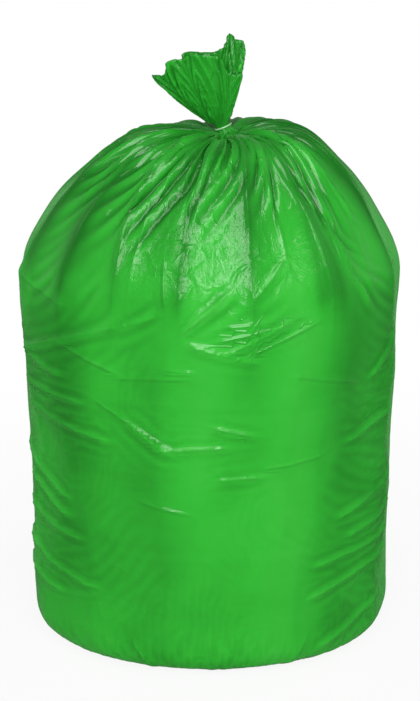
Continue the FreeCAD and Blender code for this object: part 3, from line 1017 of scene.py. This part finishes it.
def add_node(tree, kind, settings, links):
    """Adds a node, sets its fields and sockets, and links its sockets from others' outputs."""
    node = tree.nodes.new(kind)
    for name, value in settings.items():
        if isinstance(name, str) and hasattr(node, name):
            setattr(node, name, value)
        else:
            node.inputs[name].default_value = value
    for name, output in links.items():
        tree.links.new(output, node.inputs[name])
    return node


def new_material(name):
    """An empty node material and its tree."""
    material = bpy.data.materials.new(name)
    material.use_nodes = True
    material.node_tree.nodes.clear()
    return material, material.node_tree


FILM_GREEN = "#2eae30"
print("green of the film, linear:", [round(part, 3) for part in srgb(FILM_GREEN)])

# %% [markdown]
# Dyed LDPE lets a little light through. Its colour carries painted light and shade: a
# painted light green where the film stands off the filling or is rim-lit, and a painted shade
# green in folds, partly for the deep green of several layers, and on the sides and shoulders.
# The relief adds the folds that are finer than the mesh, as thin crests of a noise: about
# 12 mm apart at the sides, 10 mm in the gathers, 5.5 mm for the crinkles, which are finer on
# real film and are drawn as coarse as they need to show, and 30 mm for the soft buckles.

# %% Blown LDPE film
# The ends of the colour ramp: the film's green in painted shade and in painted light.
FILM_PAINTED_SHADE_GREEN = "#126e16"
FILM_PAINTED_LIGHT_GREEN = "#4cc44a"
FILM_SHEEN = "#4fd052"
GREEN_STOP = 0.48
# Soft patches of painted light and shade over the green: their contrast, shift and, below, their size.
PATCH_CONTRAST = 0.35
PATCH_SHIFT = -0.18
CREST_STEEPNESS = 5.0
PAINTED_SHADE_PATCH_SIZE = 0.060
LINE_WIDTH = 0.0035
# Crests: what they are read at, their spacing in m, distortion, strength and height in mm.
FINE_FOLDS = (
    ("side_ways", 0.012, 0.4, "side_folds", 1.2),
    ("fan_ways", 0.010, 0.3, "fan_folds", 0.9),
    ("place", 0.0055, 1.4, "crinkle", 0.17),
    ("place", 0.030, 0.8, "crinkle", 1.0),
)


def crest_lines(tree, place, spacing, distortion):
    """Thin wandering crests about a spacing apart, 0 between them and 1 on top."""
    settings = {"Scale": 1 / spacing, "Detail": 1.5, "Roughness": 0.5, "Distortion": distortion}
    noise = add_node(tree, "ShaderNodeTexNoise", settings, {"Vector": place}).outputs["Fac"]
    centred = add_node(tree, "ShaderNodeMath", {"operation": "SUBTRACT", 1: 0.5}, {0: noise})
    folded = add_node(tree, "ShaderNodeMath", {"operation": "ABSOLUTE"}, {0: centred.outputs[0]})
    settings = {"operation": "MULTIPLY_ADD", 1: -CREST_STEEPNESS, 2: 1.0}
    return add_node(tree, "ShaderNodeMath", settings, {0: folded.outputs[0]}).outputs[0]


def film_relief(tree, place, stored):
    """The height in millimetres of all folds that are too fine for the mesh."""
    line = add_node(tree, "ShaderNodeSeparateXYZ", {}, {"Vector": stored["fold_line"].outputs["Vector"]})
    off = add_node(tree, "ShaderNodeMath", {"operation": "ABSOLUTE"}, {0: line.outputs["X"]})
    settings = {"From Max": LINE_WIDTH, "To Min": 1.0, "To Max": 0.0}
    ridge = add_node(tree, "ShaderNodeMapRange", settings, {"Value": off.outputs[0]})
    links = {0: ridge.outputs["Result"], 1: line.outputs["Y"]}
    total = add_node(tree, "ShaderNodeMath", {"operation": "MULTIPLY"}, links)
    for ways, spacing, distortion, strength, size in FINE_FOLDS:
        read_at = place if ways == "place" else stored[ways].outputs["Vector"]
        links = {0: crest_lines(tree, read_at, spacing, distortion), 1: stored[strength].outputs["Fac"]}
        folds = add_node(tree, "ShaderNodeMath", {"operation": "MULTIPLY"}, links)
        settings = {"operation": "MULTIPLY_ADD", 1: size}
        links = {0: folds.outputs[0], 2: total.outputs[0]}
        total = add_node(tree, "ShaderNodeMath", settings, links)
    return total.outputs[0]


def film_material():
    """Dyed blown film: a green with painted light and shade in it, a soft gloss, and crinkles too fine for
    the mesh.
    """
    material, tree = new_material("blown LDPE film, green")
    names = ("lift", "crinkle", "side_folds", "fan_folds", "side_ways", "fan_ways", "fold_line")
    stored = {name: add_node(tree, "ShaderNodeAttribute", {"attribute_name": name}, {}) for name in names}
    place = add_node(tree, "ShaderNodeTexCoord", {}, {}).outputs["Object"]
    # Soft patches of painted light and shade, about 6 cm across.
    settings = {"Scale": 1 / PAINTED_SHADE_PATCH_SIZE, "Detail": 3.0}
    patches = add_node(tree, "ShaderNodeTexNoise", settings, {"Vector": place})
    settings = {"operation": "MULTIPLY_ADD", 1: PATCH_CONTRAST, 2: PATCH_SHIFT}
    shade = add_node(tree, "ShaderNodeMath", settings, {0: patches.outputs["Fac"]})
    settings = {"operation": "ADD", "use_clamp": True}
    links = {0: stored["lift"].outputs["Fac"], 1: shade.outputs[0]}
    depth = add_node(tree, "ShaderNodeMath", settings, links)
    ramp = add_node(tree, "ShaderNodeValToRGB", {}, {"Fac": depth.outputs[0]})
    ramp.color_ramp.elements[0].color = srgb(FILM_PAINTED_SHADE_GREEN)
    ramp.color_ramp.elements[1].color = srgb(FILM_PAINTED_LIGHT_GREEN)
    ramp.color_ramp.elements.new(GREEN_STOP).color = srgb(FILM_GREEN)
    relief = film_relief(tree, place, stored)
    bump = add_node(tree, "ShaderNodeBump", {"Distance": 0.001}, {"Height": relief})
    settings = {
        "Roughness": 0.14,
        "IOR": 1.51,
        "Sheen Weight": 0.35,
        "Sheen Roughness": 0.4,
        "Sheen Tint": srgb(FILM_SHEEN),
    }
    links = {"Base Color": ramp.outputs["Color"], "Normal": bump.outputs["Normal"]}
    shader = add_node(tree, "ShaderNodeBsdfPrincipled", settings, links)
    add_node(tree, "ShaderNodeOutputMaterial", {}, {"Surface": shader.outputs["BSDF"]})
    return material


film.data.materials.append(film_material())
print("materials of the film:", [material.name for material in film.data.materials])

# %% [markdown]
# ## The tie
# The tie is a thin strand of paler, duller plastic, drawn tight round the neck with its
# ends twisted behind. Its solid already has that shape, so it only gets a material.

# %% Extruded tie strand
TIE_GREEN = "#8fd28c"
TIE_PALE = "#c9efc4"
# Real streaks are finer. These lie about a millimetre apart, the least that shows.
STREAKS_PER_METRE = 900.0


def tie_material():
    """Pale extruded plastic: nearly white green, dull, with faint streaks along the strand."""
    material, tree = new_material("extruded LLDPE strand, pale green")
    place = add_node(tree, "ShaderNodeTexCoord", {}, {}).outputs["Object"]
    settings = {"Scale": STREAKS_PER_METRE, "Detail": 2.0}
    streaks = add_node(tree, "ShaderNodeTexNoise", settings, {"Vector": place})
    ramp = add_node(tree, "ShaderNodeValToRGB", {}, {"Fac": streaks.outputs["Fac"]})
    ramp.color_ramp.elements[0].color = srgb(TIE_GREEN)
    ramp.color_ramp.elements[1].color = srgb(TIE_PALE)
    settings = {"Distance": 0.0001, "Strength": 0.5}
    bump = add_node(tree, "ShaderNodeBump", settings, {"Height": streaks.outputs["Fac"]})
    shader = add_node(
        tree,
        "ShaderNodeBsdfPrincipled",
        {"Roughness": 0.45, "IOR": 1.51},
        {"Base Color": ramp.outputs["Color"], "Normal": bump.outputs["Normal"]},
    )
    add_node(tree, "ShaderNodeOutputMaterial", {}, {"Surface": shader.outputs["BSDF"]})
    return material


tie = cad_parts["neck_tie"]
tie.data.materials.clear()
tie.data.materials.append(tie_material())
print("tie material:", tie.data.materials[0].name)

# %% [markdown]
# ## Floor, background and light
# The bag stands on a plain white floor in front of white. The rays tell who looks: the
# camera sees full white, the light that falls on the bag stays what the lamps give, and
# gloss sees the white dimmed. Mirrored at full strength it would turn the bag's whole
# outline pale grey, which the photograph doesn't show.

# %% Floor
FLOOR_GLOW = 0.90
MIRRORED_WHITE = 0.10
SHADOW_EDGE = 0.3
WHITE_EDGE = 1.1
FLOOR_HALF_SIZE = 6.0


def white_rays(tree):
    """1 for rays from the camera and through glass, and the dimmed white for mirrored ones."""
    rays = add_node(tree, "ShaderNodeLightPath", {}, {}).outputs
    settings = {"operation": "MULTIPLY", 1: MIRRORED_WHITE}
    seen = add_node(tree, "ShaderNodeMath", settings, {0: rays["Is Glossy Ray"]})
    for kind in ("Is Camera Ray", "Is Transmission Ray"):
        links = {0: seen.outputs[0], 1: rays[kind]}
        seen = add_node(tree, "ShaderNodeMath", {"operation": "MAXIMUM"}, links)
    return seen.outputs[0], rays["Is Glossy Ray"]


def white_material(name, roughness):
    """A matte white that the camera sees as white, a little less so in the bag's shadow."""
    material, tree = new_material(name)
    seen, glossy = white_rays(tree)
    place = add_node(tree, "ShaderNodeTexCoord", {}, {}).outputs["Object"]
    away = add_node(tree, "ShaderNodeVectorMath", {"operation": "LENGTH"}, {0: place})
    settings = {"From Min": SHADOW_EDGE, "From Max": WHITE_EDGE, "To Min": FLOOR_GLOW, "To Max": 1.0}
    glow = add_node(tree, "ShaderNodeMapRange", settings, {"Value": away.outputs["Value"]})
    links = {0: glow.outputs["Result"], 1: seen}
    share = add_node(tree, "ShaderNodeMath", {"operation": "MULTIPLY"}, links)
    links = {0: share.outputs[0], 1: glossy}
    share = add_node(tree, "ShaderNodeMath", {"operation": "MAXIMUM"}, links)
    settings = {"Base Color": srgb("#f4f4f4"), "Roughness": roughness}
    paper = add_node(tree, "ShaderNodeBsdfPrincipled", settings, {})
    white = add_node(tree, "ShaderNodeEmission", {"Color": srgb("#ffffff")}, {"Strength": seen})
    links = {0: share.outputs[0], 1: paper.outputs["BSDF"], 2: white.outputs["Emission"]}
    mix = add_node(tree, "ShaderNodeMixShader", {}, links)
    add_node(tree, "ShaderNodeOutputMaterial", {}, {"Surface": mix.outputs["Shader"]})
    return material


def add_floor():
    """A large flat floor."""
    bm = bmesh.new()
    bmesh.ops.create_grid(bm, x_segments=1, y_segments=1, size=FLOOR_HALF_SIZE)
    mesh = bpy.data.meshes.new("floor")
    bm.to_mesh(mesh)
    bm.free()
    floor = bpy.data.objects.new("floor", mesh)
    bpy.context.scene.collection.objects.link(floor)
    floor.data.materials.append(white_material("matte white paper sweep", 0.8))
    return floor


floor = add_floor()
print("floor half size in metres:", FLOOR_HALF_SIZE)

# %% [markdown]
# Film shows its light source as a broken-up window, so one tall soft lamp stands in front
# and above. A wide, low band of light puts the small glints on the creases and lights
# nothing else. A soft lamp far in front and one behind each side only lift the shade and
# the edges, and stay out of the reflections.

# %% Lamps and sky
WORLD_LEVEL = 0.11
# A lamp: place, target, width, height, power in W, seen by diffuse and by glossy rays.
LAMPS = {
    "window lamp": ((0.02, -1.08, 1.76), (0, 0, 0.45), 0.62, 2.05, 15, True, True),
    "band lamp": ((0, -1.55, 1.60), (0, 0, 0.40), 2.4, 0.22, 4, False, True),
    "front lamp": ((0.10, -3.2, 1.4), (0, 0, 0.35), 1.2, 1.6, 66, True, False),
    "left rim lamp": ((-1.9, 1.2, 0.9), (0, 0, 0.3), 1.0, 1.4, 16, True, False),
    "right rim lamp": ((1.9, 1.2, 0.9), (0, 0, 0.3), 1.0, 1.4, 16, True, False),
}


def add_lamp(name, place, target, width, height, power, diffuse, glossy):
    """A rectangular soft lamp that faces its target."""
    data = bpy.data.lights.new(name, "AREA")
    data.shape = "RECTANGLE"
    data.size = width
    data.size_y = height
    data.energy = power
    lamp = bpy.data.objects.new(name, data)
    lamp.location = place
    lamp.rotation_mode = "QUATERNION"
    lamp.rotation_quaternion = (Vector(place) - Vector(target)).to_track_quat("Z", "Y")
    lamp.visible_diffuse = diffuse
    lamp.visible_glossy = glossy
    bpy.context.scene.collection.objects.link(lamp)


for name, lamp in LAMPS.items():
    add_lamp(name, *lamp)


def white_world():
    """Even light from all round, seen as white behind the bag."""
    world = bpy.data.worlds.new("white studio")
    world.use_nodes = True
    tree = world.node_tree
    tree.nodes.clear()
    seen, _ = white_rays(tree)
    settings = {"To Min": WORLD_LEVEL, "To Max": 1.0}
    level = add_node(tree, "ShaderNodeMapRange", settings, {"Value": seen})
    links = {"Strength": level.outputs["Result"]}
    sky = add_node(tree, "ShaderNodeBackground", {"Color": srgb("#ffffff")}, links)
    add_node(tree, "ShaderNodeOutputWorld", {}, {"Surface": sky.outputs["Background"]})
    return world


bpy.context.scene.world = white_world()
bpy.context.scene.view_settings.view_transform = "Standard"
